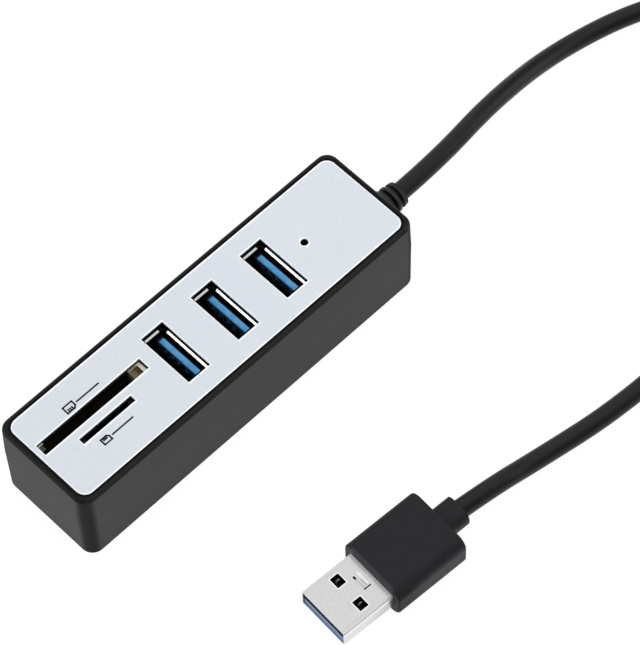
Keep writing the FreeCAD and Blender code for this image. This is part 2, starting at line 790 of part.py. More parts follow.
def make_plug():
    """The plug, built with its tip up: moulded grip and neck, shell, core and contacts."""
    grip = rounded_block("grip", ("grip_width", "grip_height", "grip_length"), "grip_corner",
                         ("0", "0", "-grip_length"), "grip_edge")
    neck = rounded_block("neck", ("neck_width", "neck_height", "neck_length"), "neck_corner",
                         ("0", "0", "-grip_length - neck_length"))
    node("plug_grip", lay_plug(fuse("grip_moulding", [grip, neck])))

    tube = sheet_tube("plug_tube", ("plug_width", "plug_height", "plug_length"), "plug_sheet",
                      "plug_corner", ("0", "0", "0"))
    windows = []
    for side in (-1, 1):
        size = ("window_width", "2 * plug_height", "window_length")
        level = "plug_length - window_setback - window_length / 2"
        windows.append(box(f"window_{len(windows) + 1}", size, (f"{side} * window_spread", "0", level)))
    node("plug_shell", lay_plug(cut("plug_tube_cut", tube, windows)))

    floor_y = "(plug_sheet - plug_height / 2)"
    core_size = ("plug_width - 2 * plug_sheet - 2 * plug_core_gap", "plug_core_height",
                 "plug_length - plug_core_setback")
    core = rounded_block("core", core_size, "plug_corner - plug_sheet - plug_core_gap",
                         ("0", f"{floor_y} + plug_core_height / 2", "0"))
    node("plug_insulator", lay_plug(group("core_piece", [core])))

    strips = contact_rows("plug_contact", f"({floor_y} + plug_core_height)", "plug_length",
                          ("plug_contact_setback", "plug_fast_setback"),
                          ("plug_contact_length", "plug_fast_length"), "contact_thickness", 1)
    node("plug_contacts", lay_plug(group("plug_contact_group", strips)))


def check():
    """Stops before anything is written if a feature failed or a sub-part's shape is bad."""
    doc.recompute()
    for thing in doc.Objects:
        if {"Invalid", "Error"} & set(thing.State):
            raise RuntimeError(f"{thing.Name} failed: {thing.State}")
    for thing in nodes:
        shape = thing.Shape
        if shape.isNull() or not shape.isValid() or not shape.Solids:
            raise RuntimeError(f"{thing.Label} has no valid solid")


make_housing()
make_face_plate()
make_base_cover()
make_main_board()
for port in range(port_count):
    make_port(port)
make_card_board()
make_large_card_socket()
make_small_card_socket()
make_light()
make_board_parts()
make_gland()
make_wires()
make_plug()
make_cable()
check()

os.makedirs("parts", exist_ok=True)
for thing in nodes:
    thing.Shape.exportStep(f"parts/{thing.Label}.step")
    print(thing.Label, len(thing.Shape.Solids), "solids", round(thing.Shape.Volume, 2), "mm3")
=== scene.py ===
import bpy
import json
import numpy as np
from mathutils import Matrix, Vector


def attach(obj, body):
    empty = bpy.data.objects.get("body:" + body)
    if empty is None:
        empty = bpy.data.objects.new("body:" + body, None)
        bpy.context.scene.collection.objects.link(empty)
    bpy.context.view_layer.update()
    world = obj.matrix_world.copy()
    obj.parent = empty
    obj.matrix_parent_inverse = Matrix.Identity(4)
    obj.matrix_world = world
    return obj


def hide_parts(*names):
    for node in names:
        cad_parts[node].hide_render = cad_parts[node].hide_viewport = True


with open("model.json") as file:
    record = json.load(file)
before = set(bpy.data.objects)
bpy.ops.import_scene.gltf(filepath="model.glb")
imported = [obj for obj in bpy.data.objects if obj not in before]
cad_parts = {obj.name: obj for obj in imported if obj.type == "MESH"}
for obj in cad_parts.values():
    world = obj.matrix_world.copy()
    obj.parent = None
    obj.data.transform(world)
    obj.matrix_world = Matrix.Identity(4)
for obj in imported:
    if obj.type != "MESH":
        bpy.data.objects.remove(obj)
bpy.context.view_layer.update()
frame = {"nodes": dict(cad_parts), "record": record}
nodes = frame["nodes"]
mm = 0.001                                   # shapes are worked out in millimetres
tiny = 1e-6
print("frame loaded:", len(nodes), "nodes")


def gridFaces(rows, columns, loopRows=False, loopColumns=False):
    # quads of a grid of rows by columns points, closed round either way
    r = np.arange(rows if loopRows else rows - 1)[:, None]
    c = np.arange(columns if loopColumns else columns - 1)[None, :]
    r2, c2 = (r + 1) % rows, (c + 1) % columns
    quads = np.stack([r * columns + c, r * columns + c2, r2 * columns + c2, r2 * columns + c], -1)
    return quads.reshape(-1, 4)


def makePiece(name, points, faces, finish, slot=None, sharp=35.0, stands=()):
    # points in millimetres, faces as rows of point numbers;
    # an edge stays sharp where its two faces turn by more than sharp degrees
    mesh = bpy.data.meshes.new(name)
    places = np.asarray(points).reshape(-1, 3) * mm
    mesh.from_pydata(places.tolist(), [], [list(f) for f in faces])
    mesh.validate()
    mesh.shade_smooth()
    mesh.set_sharp_from_angle(angle=np.radians(sharp))
    piece = bpy.data.objects.new(name, mesh)
    bpy.context.scene.collection.objects.link(piece)
    mesh.materials.append(finish)
    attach(piece, "root")
    if stands:
        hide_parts(*stands)
    return piece


def bevelEdges(piece, width, segments=3, angle=40.0):
    bevel = piece.modifiers.new("softEdges", "BEVEL")
    bevel.width = width * mm
    bevel.segments = segments
    bevel.limit_method = "ANGLE"
    bevel.angle_limit = np.radians(angle)
    bevel.harden_normals = True
    return piece


def thicken(piece, name, thickness):
    # a sheet as thick as this, inwards from the drawn face
    sheet = piece.modifiers.new(name, "SOLIDIFY")
    sheet.thickness, sheet.offset = thickness * mm, -1.0
    return piece


def roundedLoop(width, height, radius, perCorner=8):
    # a rectangle with round corners, anticlockwise: its points and their outward normals
    turn = np.linspace(0, np.pi / 2, perCorner)
    angle = (np.arange(4)[:, None] * np.pi / 2 + turn[None, :]).ravel()
    normal = np.stack([np.cos(angle), np.sin(angle)], -1)
    side = np.repeat(np.array([[1, 1], [-1, 1], [-1, -1], [1, -1]]), perCorner, axis=0)
    centre = side * (np.array([width, height]) / 2 - radius)
    return centre + radius * normal, normal


def outward(points, faces):
    # turns the faces of a closed piece outwards:
    # six times its volume is the sum of a.(b x c) over its triangles
    p, f = np.asarray(points).reshape(-1, 3), np.asarray(faces)
    p = p - p.mean(0)
    a, b, c, d = (p[f[:, i]] for i in range(4))
    volume = (a * np.cross(b, c)).sum() + (a * np.cross(c, d)).sum()
    return f if volume > 0 else f[:, ::-1]


def bentStrip(path, thick, run):
    # a sheet bent along a path of (offset, level) and carried along a straight run:
    # points (along, offset, level)
    path = np.asarray(path, float)
    step = np.gradient(path, axis=0)
    below = np.stack([step[:, 1], -step[:, 0]], -1) / np.linalg.norm(step, axis=1)[:, None] * thick
    loop = np.concatenate([path, (path + below)[::-1]])
    n = len(loop)
    points = np.concatenate([np.column_stack([np.full(n, at), loop]) for at in run])
    i = np.arange(len(path) - 1)
    cap = np.stack([i, i + 1, n - 2 - i, n - 1 - i], -1)
    return points, np.concatenate([gridFaces(2, n, loopColumns=True), cap[:, ::-1], cap + n])


def slab(xs, ys, height, bottom):
    # a moulded block: its top is height(x, y) over a grid, with upright walls down to a flat bottom
    x, y = np.meshgrid(xs, ys, indexing="ij")
    levels = (height(x, y), np.full_like(x, bottom))
    points = np.stack([np.stack([x, y, z], -1) for z in levels])
    number = np.arange(x.size).reshape(x.shape)
    rim = np.concatenate([number[:-1, 0], number[-1, :-1], number[:0:-1, -1], number[0, :0:-1]])
    ahead = np.roll(rim, -1)
    wall = np.stack([rim, ahead, ahead + x.size, rim + x.size], -1)
    top = gridFaces(*x.shape)
    return points.reshape(-1, 3), np.concatenate([top, top[:, ::-1] + x.size, wall])


def joined(parts):
    # several (points, faces) as one
    starts = np.cumsum([0] + [len(points) for points, _ in parts])
    points = np.concatenate([points for points, _ in parts])
    return points, np.concatenate([faces + start for (_, faces), start in zip(parts, starts)])


class Wire:
    # a shader socket that takes part in Python sums
    def __init__(self, finish, socket):
        self.finish, self.socket = finish, socket

    def sum(self, operation, first, second):
        return self.finish.node("ShaderNodeMath", {"operation": operation}, {0: first, 1: second})

    def __add__(self, other):
        return self.sum("ADD", self, other)

    def __radd__(self, other):
        return self.sum("ADD", other, self)

    def __sub__(self, other):
        return self.sum("SUBTRACT", self, other)

    def __rsub__(self, other):
        return self.sum("SUBTRACT", other, self)

    def __mul__(self, other):
        return self.sum("MULTIPLY", self, other)

    def __pow__(self, other):
        return self.sum("POWER", self, other)

    def __abs__(self):
        return self.sum("ABSOLUTE", self, 0.0)

    def largest(self, other):
        return self.sum("MAXIMUM", self, other)

    def smallest(self, other):
        return self.sum("MINIMUM", self, other)


class Finish:
    # one material and its node tree
    def __init__(self, name):
        self.material = bpy.data.materials.new(name)
        self.material.use_nodes = True
        self.tree = self.material.node_tree
        self.shader = self.tree.nodes["Principled BSDF"]
        self.place = self.node("ShaderNodeTexCoord", out="Object")

    def node(self, kind, settings=None, values=None, out=0):
        # any node: its type, its settings, and the values or links of its sockets
        made = self.tree.nodes.new(kind)
        for name, setting in (settings or {}).items():
            setattr(made, name, setting)
        self.fill(made, values or {})
        return Wire(self, made.outputs[out])

    def fill(self, made, values):
        for name, value in values.items():
            socket = made.inputs[name]
            if isinstance(value, Wire):
                self.tree.links.new(value.socket, socket)
            elif hasattr(value, "__len__") and len(value) == 3 and socket.type == "RGBA":
                socket.default_value = (*value, 1.0)
            else:
                socket.default_value = value

    def set(self, **values):
        # sockets of the main shader, by name with _ for a blank
        self.fill(self.shader, {name.replace("_", " "): value for name, value in values.items()})
        return self

    def noise(self, scale, detail):
        values = {"Vector": self.place, "Scale": scale, "Detail": detail}
        return self.node("ShaderNodeTexNoise", {}, values, "Fac")

    def axes(self):
        # object coordinates in millimetres
        perMetre = 1000.0
        made = self.node("ShaderNodeSeparateXYZ", {}, {"Vector": self.place})
        outs = made.socket.node.outputs
        return [Wire(self, outs[i]) * perMetre for i in range(3)]

    def step(self, value, low, high):
        # 0 up to low, 1 from high on
        return self.node("ShaderNodeMapRange", {"interpolation_type": "SMOOTHSTEP"}, {
            "Value": value, "From Min": low, "From Max": high})

    def below(self, value, low, high):
        # 1 up to low, 0 from high on
        return 1.0 - self.step(value, low, high)

    def roundedBox(self, x, y, halfX, halfY, radius):
        # signed distance to a rounded rectangle in millimetres, negative inside
        outX, outY = abs(x) - (halfX - radius), abs(y) - (halfY - radius)
        far = (outX.largest(0.0) ** 2.0 + outY.largest(0.0) ** 2.0) ** 0.5
        return far + outX.largest(outY).smallest(0.0) - radius

    def plugAxes(self, lay):
        # across the plug, up from its middle, and towards its tip, in millimetres
        x, y, z = self.axes()
        c, s = np.cos(np.radians(lay["yaw"])), np.sin(np.radians(lay["yaw"]))
        x, y = x - lay["place"][0], y - lay["place"][1]
        return x * c - y * s, z - lay["place"][2], x * -s - y * c

    def blend(self, factor, first, second):
        values = {0: factor, 6: first, 7: second}
        return self.node("ShaderNodeMix", {"data_type": "RGBA"}, values, 2)

    def bump(self, height, strength, depth):
        values = {"Height": height, "Strength": strength, "Distance": depth}
        return self.node("ShaderNodeBump", {}, values, "Normal")


def scaled(colour, by):
    return tuple(c * by for c in colour)


def grey(value, tint=(1.0, 1.0, 1.0)):
    return scaled(tint, value)


# found by a fit to the outlines of the hub and the plug, in millimetres
cameraFit = {
    "place": (288.381, -231.272, 650.644),
    "right": (0.70101872, 0.71271006, -0.02484178),
    "up": (-0.60688665, 0.61450048, 0.50406126),
    "back": (0.37451482, -0.33828024, 0.86331057),
    "lens": 208.95, "sensor": 36.0,
    "clip": (0.01, 20.0),                    # in metres
}


def makeCamera(fit):
    data = bpy.data.cameras.new("camera")
    data.lens, data.sensor_width, data.sensor_fit = fit["lens"], fit["sensor"], "AUTO"
    data.clip_start, data.clip_end = fit["clip"]
    camera = bpy.data.objects.new("camera", data)
    bpy.context.scene.collection.objects.link(camera)
    turn = Matrix([fit["right"], fit["up"], fit["back"]]).transposed().to_4x4()
    turn.translation = [v * mm for v in fit["place"]]
    camera.matrix_world = turn
    bpy.context.scene.camera = camera


makeCamera(cameraFit)
print("camera set")


stageLook = {
    # floorColour lights the part; floorSeen and floorGlow are what the camera and mirrors see
    "floorSize": 4.0, "floorColour": 0.70, "floorSeen": 0.11, "floorGlow": 0.95,
    "sky": 0.24,
    "lamps": [
        # name, place in metres, width and depth, power, aimed at
        ("topBox", (-0.12, 0.33, 0.85), (1.3, 0.9), 3.55, (-0.12, 0.30, 0.0)),
        ("leftBox", (-0.70, -0.80, 0.42), (1.0, 1.0), 5.2, (0.0, -0.02, 0.0)),
        ("rightBox", (0.66, 1.02, 0.42), (1.0, 1.0), 4.6, (0.02, 0.0, 0.0)),
        ("backBox", (-0.90, 0.55, 0.52), (0.8, 0.8), 1.6, (0.0, 0.05, 0.0)),
    ],
}


def makeStage(look):
    half = look["floorSize"] / 2
    corners = [(-half, -half, 0), (half, -half, 0), (half, half, 0), (-half, half, 0)]
    mesh = bpy.data.meshes.new("floor")
    mesh.from_pydata(corners, [], [(0, 1, 2, 3)])
    floor = bpy.data.objects.new("floor", mesh)
    bpy.context.scene.collection.objects.link(floor)
    paper = Finish("whitePaper")
    rays = paper.node("ShaderNodeLightPath").socket.node.outputs
    seen = Wire(paper, rays["Is Camera Ray"]).largest(Wire(paper, rays["Is Glossy Ray"]))
    seen = seen.largest(Wire(paper, rays["Is Transmission Ray"]))
    tone = paper.blend(seen, grey(look["floorColour"]), grey(look["floorSeen"]))
    paper.set(Base_Color=tone, Roughness=0.9)
    shine = {"Color": (1, 1, 1), "Strength": seen * look["floorGlow"]}
    glow = paper.node("ShaderNodeEmission", {}, shine)
    plain = Wire(paper, paper.shader.outputs[0])
    both = paper.node("ShaderNodeAddShader", {}, {0: plain, 1: glow})
    paper.tree.links.new(both.socket, paper.tree.nodes["Material Output"].inputs["Surface"])
    mesh.materials.append(paper.material)

    world = bpy.data.worlds.new("sky")
    bpy.context.scene.world = world
    world.use_nodes = True
    back = world.node_tree.nodes["Background"]
    back.inputs["Color"].default_value = (1, 1, 1, 1)
    back.inputs["Strength"].default_value = look["sky"]

    for name, place, size, power, target in look["lamps"]:
        data = bpy.data.lights.new(name, "AREA")
        data.shape, data.size, data.size_y, data.energy = "RECTANGLE", *size, power
        lamp = bpy.data.objects.new(name, data)
        lamp.location = place
        aim = Vector(target) - lamp.location
        lamp.rotation_euler = aim.to_track_quat("-Z", "Y").to_euler()
        bpy.context.scene.collection.objects.link(lamp)
    bpy.context.scene.view_settings.view_transform = "Standard"


makeStage(stageLook)
print("stage set")


def housingPlastic(plateHalf=(11.1, 43.3), plateCorner=2.2):
    # charcoal moulding: eroded grain on the walls, a smooth dark rim painted lighter along the
    # right-hand side as a highlight, the four upright corners painted dark as shade, and a black
    # joint round the plate
    f = Finish("housingPlastic")
    x, y, z = f.axes()
    rim = f.step(z, 20.0, 20.5)
    beyond = f.roundedBox(x, y, *plateHalf, plateCorner)
    joint = (rim * f.below(beyond, 0.30, 0.75)).largest(f.below(beyond, -0.3, -0.1))
    # the upright corners painted dark: painted shade where the walls turn
    corner = f.step(abs(x), 9.6, 11.2) * f.step(abs(y), 41.8, 43.4)
    tint = (1.0, 1.0, 1.01)
    wall = f.blend(f.noise(900.0, 3.0), grey(0.090, tint), grey(0.108, tint))
    # the rim's right-hand side painted lighter: a painted highlight
    rimToneLitRight = f.blend(f.step(x, 11.3, 11.9), grey(0.016), grey(0.026))
    tone = f.blend(rim, f.blend(corner, wall, grey(0.050)), rimToneLitRight)
    dull = joint.largest(corner * (1.0 - rim))
    f.set(Base_Color=f.blend(joint, tone, grey(0.0008)))
    f.set(Roughness=0.62 - rim * 0.26 + dull * 0.25, Specular_IOR_Level=0.10)
    f.set(Normal=f.bump(f.noise(5200.0, 2.0), 0.22, 0.00003))
    return f.material


def platePaint():
    # pale blue-silver blasted plate with a fine even sparkle
    f = Finish("platePaint")
    grain = f.noise(3200.0, 3.0)
    shade = f.noise(60.0, 2.0) * 0.5 + f.step(grain, 0.3, 0.7) * 0.5
    tone = f.blend(shade, (0.815, 0.868, 0.96), (0.915, 0.968, 1.0))
    f.set(Base_Color=tone, Metallic=0.30, Roughness=0.42 + grain * 0.16, Specular_IOR_Level=0.4)
    f.set(Normal=f.bump(grain, 0.14, 0.00002))
    return f.material


def cutEdge():
    # bare bright metal on the cut edges of the plate
    f = Finish("brightEdge")
    cut = f.noise(1400.0, 3.0)
    tone = f.blend(cut, (0.95, 0.965, 0.985), (0.99, 1.0, 1.0))
    f.set(Base_Color=tone, Metallic=0.85, Roughness=0.18 + cut * 0.08)
    return f.material


def plugPaintedLight(f, base, tone, lay):
    # the plug's sheet, with painted light and shade: sides painted darker towards the grip and
    # lighter towards the tip, a painted shade line along the top by each side, painted highlights
    # on the rounded edges, the upper sides and round the windows, a strap with a painted highlight
    # over a painted shade line, and a strip by the grip painted light with no mirror
    across, rise, ahead = f.plugAxes(lay)
    out, top = abs(across), f.step(rise, 2.15, 2.25)
    # the sides painted darker towards the grip and lighter towards the tip: painted light and shade
    sideLightToTip = f.step(ahead + rise * 1.2, -2.0, 8.0)
    side = f.blend(sideLightToTip, grey(tone * 0.82), grey(tone * 1.20))
    base = f.blend(f.step(out, 5.85, 6.15), base, side)
    # a painted shade line along the top, just in from each side
    bendShadeLine = f.step(out, 5.26, 5.33) * f.below(out, 5.43, 5.50) * top
    base = f.blend(bendShadeLine, base, grey(tone * 0.85))
    strap = f.step(across, -2.3, -2.0) * f.below(across, 0.95, 1.15) * f.step(rise, 1.9, 2.0)
    # on the strap, a painted highlight over a painted shade line
    strapGlint = strap * f.step(ahead, 1.45, 1.60) * f.below(ahead, 1.90, 2.05)
    strapShade = strap * f.step(across, -0.9, -0.5) * f.step(ahead, 1.95, 2.10)
    base = f.blend(strapShade * f.below(ahead, 2.20, 2.40), base, grey(tone * 0.60))
    # beside the grip, a strip painted light and not metallic, over the grip's shade and dark
    # reflection
    lightByGrip = top * f.below(ahead, 0.50, 0.80)
    base = f.blend(lightByGrip, base, f.blend(f.step(ahead, 0.15, 0.65), grey(1.0), grey(0.86)))
    (x0, x1), (z0, z1) = lay["windowX"], lay["windowZ"]
    half = (x1 - x0) / 2, (z1 - z0) / 2
    window = f.roundedBox(out - (x0 + x1) / 2, ahead - (z0 + z1) / 2, *half, 0.05)
    # painted highlights round the windows, along the rounded edges and on the upper sides
    windowGlint = top * f.below(window, 0.12, 0.28)
    edgeGlint = f.step(out, 5.78, 5.86) * f.step(rise, 1.75, 1.85)
    sideGlint = f.step(out, 6.0, 6.1) * f.step(rise, 1.10, 1.35)
    bright = edgeGlint.largest(sideGlint).largest(windowGlint * 0.85).largest(strapGlint * 0.5)
    return f.blend(bright, base, grey(1.0)), 1.0 - edgeGlint.largest(lightByGrip)


def brightSteel(name, tone, rough, mottle=0.08, lay=None):
    # plated sheet, a little uneven in tone
    f = Finish(name)
    patch = f.step(f.noise(2600.0, 3.0), 0.25, 0.75)
    base, metal = f.blend(patch, grey(tone * (1 - mottle)), grey(tone)), 1.0
    # for the plug's sheet, painted light and shade on top of the tone
    if lay:
        base, metal = plugPaintedLight(f, base, tone, lay)
    f.set(Base_Color=base, Metallic=metal, Roughness=rough + patch * 0.08)
    f.set(Normal=f.bump(patch, 0.03, 0.00002))
    return f.material


def portSteel(lipLevel=19.55):
    # polished lips, painted darker on the left as shade, on a shell painted dark inside as the
    # shade down in the port
    f = Finish("portSteel")
    x, _, z = f.axes()
    lip = f.step(z, lipLevel, lipLevel + 0.05)
    wear = f.noise(1900.0, 3.0)
    dull = f.blend(wear, grey(0.44), grey(0.56))
    polished = f.blend(wear, grey(0.93), grey(0.98))
    # the left lips painted darker: painted shade
    tone = f.blend(f.step(x, -5.7, -5.5), dull, polished)
    # below the lips, painted near black and not metallic: the shade inside the shell
    f.set(Base_Color=f.blend(lip, grey(0.004), tone), Metallic=lip)
    f.set(Roughness=0.60 - lip * 0.46 + wear * 0.08)
    return f.material


def portBlue(first=-8.95, pitch=13.32):
    # blue where light falls along the far side of each tongue's top, painted lighter towards the
    # far edge;
    # the rest painted dark as shade, with dim blotches of blue below
    f = Finish("portBlue")
    x, y, z = f.axes()
    wrap = {0: y - first, 1: pitch / 2, 2: -pitch / 2}
    across = f.node("ShaderNodeMath", {"operation": "WRAP"}, wrap)
    ledge = f.step(across, -0.25, 0.30) * f.below(across, 1.16, 1.30) * f.step(x, -5.1, -4.6)
    lit = ledge * f.step(z, 18.9, 19.05)
    under = f.step(z, 15.0, 17.5) * f.below(z, 18.4, 18.8) * f.below(across, 0.12, 0.16)
    blotch = f.step(f.noise(1900.0, 3.0), 0.40, 0.70) * under * f.step(x, -5.1, -4.2)
    # random streaks, and painted light growing towards the far edge of the ledge
    streakAndLight = f.step(f.noise(900.0, 3.0), 0.3, 0.7) * 0.6 + f.step(across, 0.2, 1.1) * 0.4
    bright = f.blend(streakAndLight, (0.070, 0.355, 0.76), (0.150, 0.545, 0.98))
    # painted shade on the rest of the tongue, broken by dim blue blotches
    shadeWithBlotches = f.blend(blotch, (0.0012, 0.002, 0.005), (0.26, 0.56, 1.0))
    f.set(Base_Color=f.blend(lit, shadeWithBlotches, bright), Roughness=0.90 - lit * 0.50)
    f.set(Specular_IOR_Level=0.25)
    return f.material


def slotPaintedShade(name, colour, top, depth, low=(0.002, 0.002, 0.0015), edge=0.06):
    # a colour on the upper face only, painted darker down into the slot as its shade
    f = Finish(name)
    z = f.axes()[2]
    fleck = f.noise(2200.0, 2.0)
    face = f.blend(fleck, scaled(colour, 0.88), scaled(colour, 1.10))
    # painted shade: darker further down the slot
    shadeDown = f.blend(f.step(z, top - depth, top - edge), low, scaled(colour, 0.16))
    f.set(Base_Color=f.blend(f.step(z, top - edge, top - edge * 0.3), shadeDown, face))
    f.set(Roughness=0.50 + fleck * 0.10, Specular_IOR_Level=0.2)
    return f.material


def guideCream():
    # cream rails, palest at the far end, round a brown recess, and painted dark below as the shade
    # down the block
    f = Finish("guideCream")
    _, y, z = f.axes()
    fleck = f.noise(1800.0, 2.0)
    cream = f.blend(f.step(y, -16.5, -15.9), (0.46, 0.42, 0.32), (0.97, 0.92, 0.76))
    toFar = f.step(y + fleck, -17.2, -15.9)
    brown = f.blend(toFar, (0.20, 0.165, 0.105), (0.085, 0.055, 0.030))
    # painted shade: dark low down, lighter towards the top
    low = f.blend(f.step(z, 15.5, 20.0), (0.0015, 0.0015, 0.001), (0.36, 0.32, 0.225))
    recess = f.blend(f.step(z, 19.86, 19.88), low, brown)
    f.set(Base_Color=f.blend(f.step(z, 20.14, 20.18), recess, cream))
    f.set(Roughness=0.5, Specular_IOR_Level=0.25)
    return f.material


def glandRubber(height, groove):
    # painted black down in the grooves, as their shade
    f = Finish("glandRubber")
    x, _, z = f.axes()
    out = (x * x + (z - height) * (z - height)) ** 0.5
    crown = f.step(out, groove + 0.38, groove + 0.68)
    f.set(Base_Color=f.blend(crown, grey(0.001), grey(0.020)))
    f.set(Roughness=0.62 - crown * 0.16, Specular_IOR_Level=0.35)
    return f.material


def plugBlue(lay):
    # blue front face of the core, painted dark on top and further in, as the shade inside the shell
    f = Finish("plugBlue")
    _, rise, ahead = f.plugAxes(lay)
    front = f.step(ahead, 11.4, 12.0) * f.below(rise, -0.48, -0.36)
    blue = f.blend(f.noise(2400.0, 2.0), (0.22, 0.40, 0.73), (0.295, 0.495, 0.855))
    f.set(Base_Color=f.blend(front, (0.001, 0.0015, 0.003), blue))
    f.set(Roughness=0.45, Specular_IOR_Level=0.25)
    return f.material


def plastic(name, colour, rough, shine=0.5, spread=0.12):
    # plain moulded plastic, a little uneven in tone and shine
    f = Finish(name)
    grain = f.noise(3500.0, 2.0)
    tone = f.blend(f.noise(420.0, 3.0), scaled(colour, 1 - spread), scaled(colour, 1 + spread))
    f.set(Base_Color=tone, Roughness=rough + grain * 0.12, Specular_IOR_Level=shine)
    f.set(Normal=f.bump(grain, 0.12, 0.00002))
    return f.material


def gripPlastic(lay):
    # dark satin moulding with painted light and shade: a painted highlight line along its front
    # edge, and grained sides painted dark as shade, then painted lighter further back, as far as
    # the neck, with a speckle
    f = Finish("gripPlastic")
    across, rise, ahead = f.plugAxes(lay)
    tint = (1.0, 0.97, 1.13)
    grain = f.noise(3500.0, 2.0)
    fleck = f.step(f.noise(5200.0, 2.0), 0.35, 0.70)
    # the sides painted dark: painted shade
    side = f.below(rise, 2.4, 3.8) * f.step(ahead, -17.6, -17.3)
    lit = side * f.step(rise, -4.2, -2.2) * f.below(ahead, -8.5, -1.5)
    # a painted highlight line along the front edge
    line = f.step(rise, 1.6, 2.2) * f.step(ahead, -0.55, -0.40) * f.below(abs(across), 5.6, 6.6)
    tone = f.blend(f.noise(420.0, 3.0), grey(0.0235, tint), grey(0.0285, tint))
    tone = f.blend(side, tone, grey(0.008, tint))
    tone = f.blend(lit, tone, f.blend(fleck, grey(0.028, tint), grey(0.070, tint)))
    f.set(Base_Color=f.blend(line, tone, grey(0.070, tint)))
    f.set(Roughness=0.42 + grain * 0.12, Specular_IOR_Level=0.12)
    f.set(Normal=f.bump(grain, 0.12, 0.00002))
    return f.material


def gold():
    f = Finish("contactGold")
    wear = f.noise(1500.0, 3.0)
    tone = f.blend(wear, (0.72, 0.52, 0.20), (0.85, 0.66, 0.30))
    f.set(Base_Color=tone, Metallic=1.0, Roughness=0.22 + wear * 0.15)
    return f.material


plugLay = {
    "place": (55.9, -11.2, 4.4), "yaw": 3.45,               # middle of the grip's front face, turn
    "windowX": (2.0, 4.5), "windowZ": (4.65, 6.75),         # the sheet's windows: across, along
}
slotTop = 20.2
warm = (1.0, 0.85, 0.6)
finishes = {
    "housing": housingPlastic(),
    "cover": plastic("coverPlastic", grey(0.045), 0.55),
    "plate": platePaint(),
    "board": plastic("boardLacquer", (0.015, 0.10, 0.045), 0.30),
    "chip": plastic("chipResin", grey(0.018), 0.50),
    "steel_can": brightSteel("canSteel", 0.70, 0.25),
    "ceramic": plastic("ceramicTan", (0.42, 0.29, 0.17), 0.45),
    "lamp": plastic("smokedLens", grey(0.004), 0.25, 0.2),
    "socket": slotPaintedShade("socketPlastic", grey(0.005, warm), slotTop, 4.0, (0.006, 0.005, 0.0035)),
    "guide": guideCream(),
    # the card socket's steel painted near black, as the shade it lies in
    "card_steel": slotPaintedShade("cardSteel", grey(0.006), slotTop, 3.0, (0.040, 0.032, 0.018)),
    "contact": gold(),
    "port_steel": portSteel(),
    "port_core": portBlue(),
    "gland": glandRubber(9.6, 2.3),
    "wire": plastic("wireRed", (0.35, 0.05, 0.04), 0.45),
    "jacket": plastic("jacketRubber", grey(0.0145, (1.0, 0.99, 1.10)), 0.27, 0.20),
    "grip": gripPlastic(plugLay),
    "plug_steel": brightSteel("plugSteel", 0.64, 0.28, 0.14, plugLay),
    "plug_core": plugBlue(plugLay),
}
shadedContacts = plastic("shadedContacts", (0.020, 0.014, 0.008), 0.5, 0.2)
for row in frame["record"]["subparts"]:
    nodes[row["node"]].data.materials.clear()
    nodes[row["node"]].data.materials.append(finishes[row["material_slot"]])
for name in ("port_1_contacts", "port_2_contacts", "port_3_contacts", "plug_contacts"):
    nodes[name].data.materials[0] = shadedContacts            # deep in the ports and the plug
print("finishes:", len(finishes))


gland = {
    "height": 9.6, "around": 72, "edge": 0.18,
    # along the hub, radius: inner flange, neck in the wall, collar, groove, rib, groove, end ring
    "profile": [
        (41.6, 3.6), (42.9, 3.6), (42.9, 2.7), (45.0, 2.7), (45.0, 3.30), (48.85, 3.24),
        (48.85, 2.30), (49.65, 2.30), (49.65, 3.10), (50.55, 3.06), (50.55, 2.30), (51.35, 2.30),
        (51.35, 2.92), (52.5, 2.72),
    ],
}


def makeGland(look):
    # point(i, a) = (radius_i cos a, along_i, height + radius_i sin a)
    along, radius = np.array(look["profile"])[..., None].transpose(1, 0, 2)
    angle = np.linspace(0, 2 * np.pi, look["around"], endpoint=False)
    x, z = radius * np.cos(angle), look["height"] + radius * np.sin(angle)
    points = np.stack([x, np.broadcast_to(along, x.shape), z], -1)
    faces = gridFaces(*x.shape, loopColumns=True)[:, ::-1].tolist()
    ring = np.arange(len(angle))
    faces += [ring.tolist(), (x.size - 1 - ring).tolist()]        # both ends closed
    piece = makePiece("ribbedGland", points, faces, finishes["gland"], "gland",
                      stands=["cable_gland"])
    return bevelEdges(piece, look["edge"])


makeGland(gland)
print("gland made")


portShells = {
    "middles": [-9.17, 4.15, 17.47], "side": -0.14,
    "width": 12.5, "height": 5.12, "sheet": 0.30, "corner": 0.45,
    "bottom": 5.0, "top": 19.50, "lipSheet": 0.15,
    # far, left, near and right lip: where it starts and ends along its side,
    # then its path (from the mouth, level)
    "lips": [
        ((-4.91, 6.44), [(-0.07, 19.64), (0.23, 19.93), (0.33, 19.98)]),
        ((-1.98, 1.56), [(-0.27, 19.78), (0.08, 19.90), (0.18, 19.92)]),
        ((-4.91, 4.91), [(-0.07, 19.64), (0.23, 19.93), (0.33, 19.98)]),
        ((-1.56, 1.56), [(0.20, 19.56), (0.34, 19.74), (0.42, 19.78)]),
    ],
}


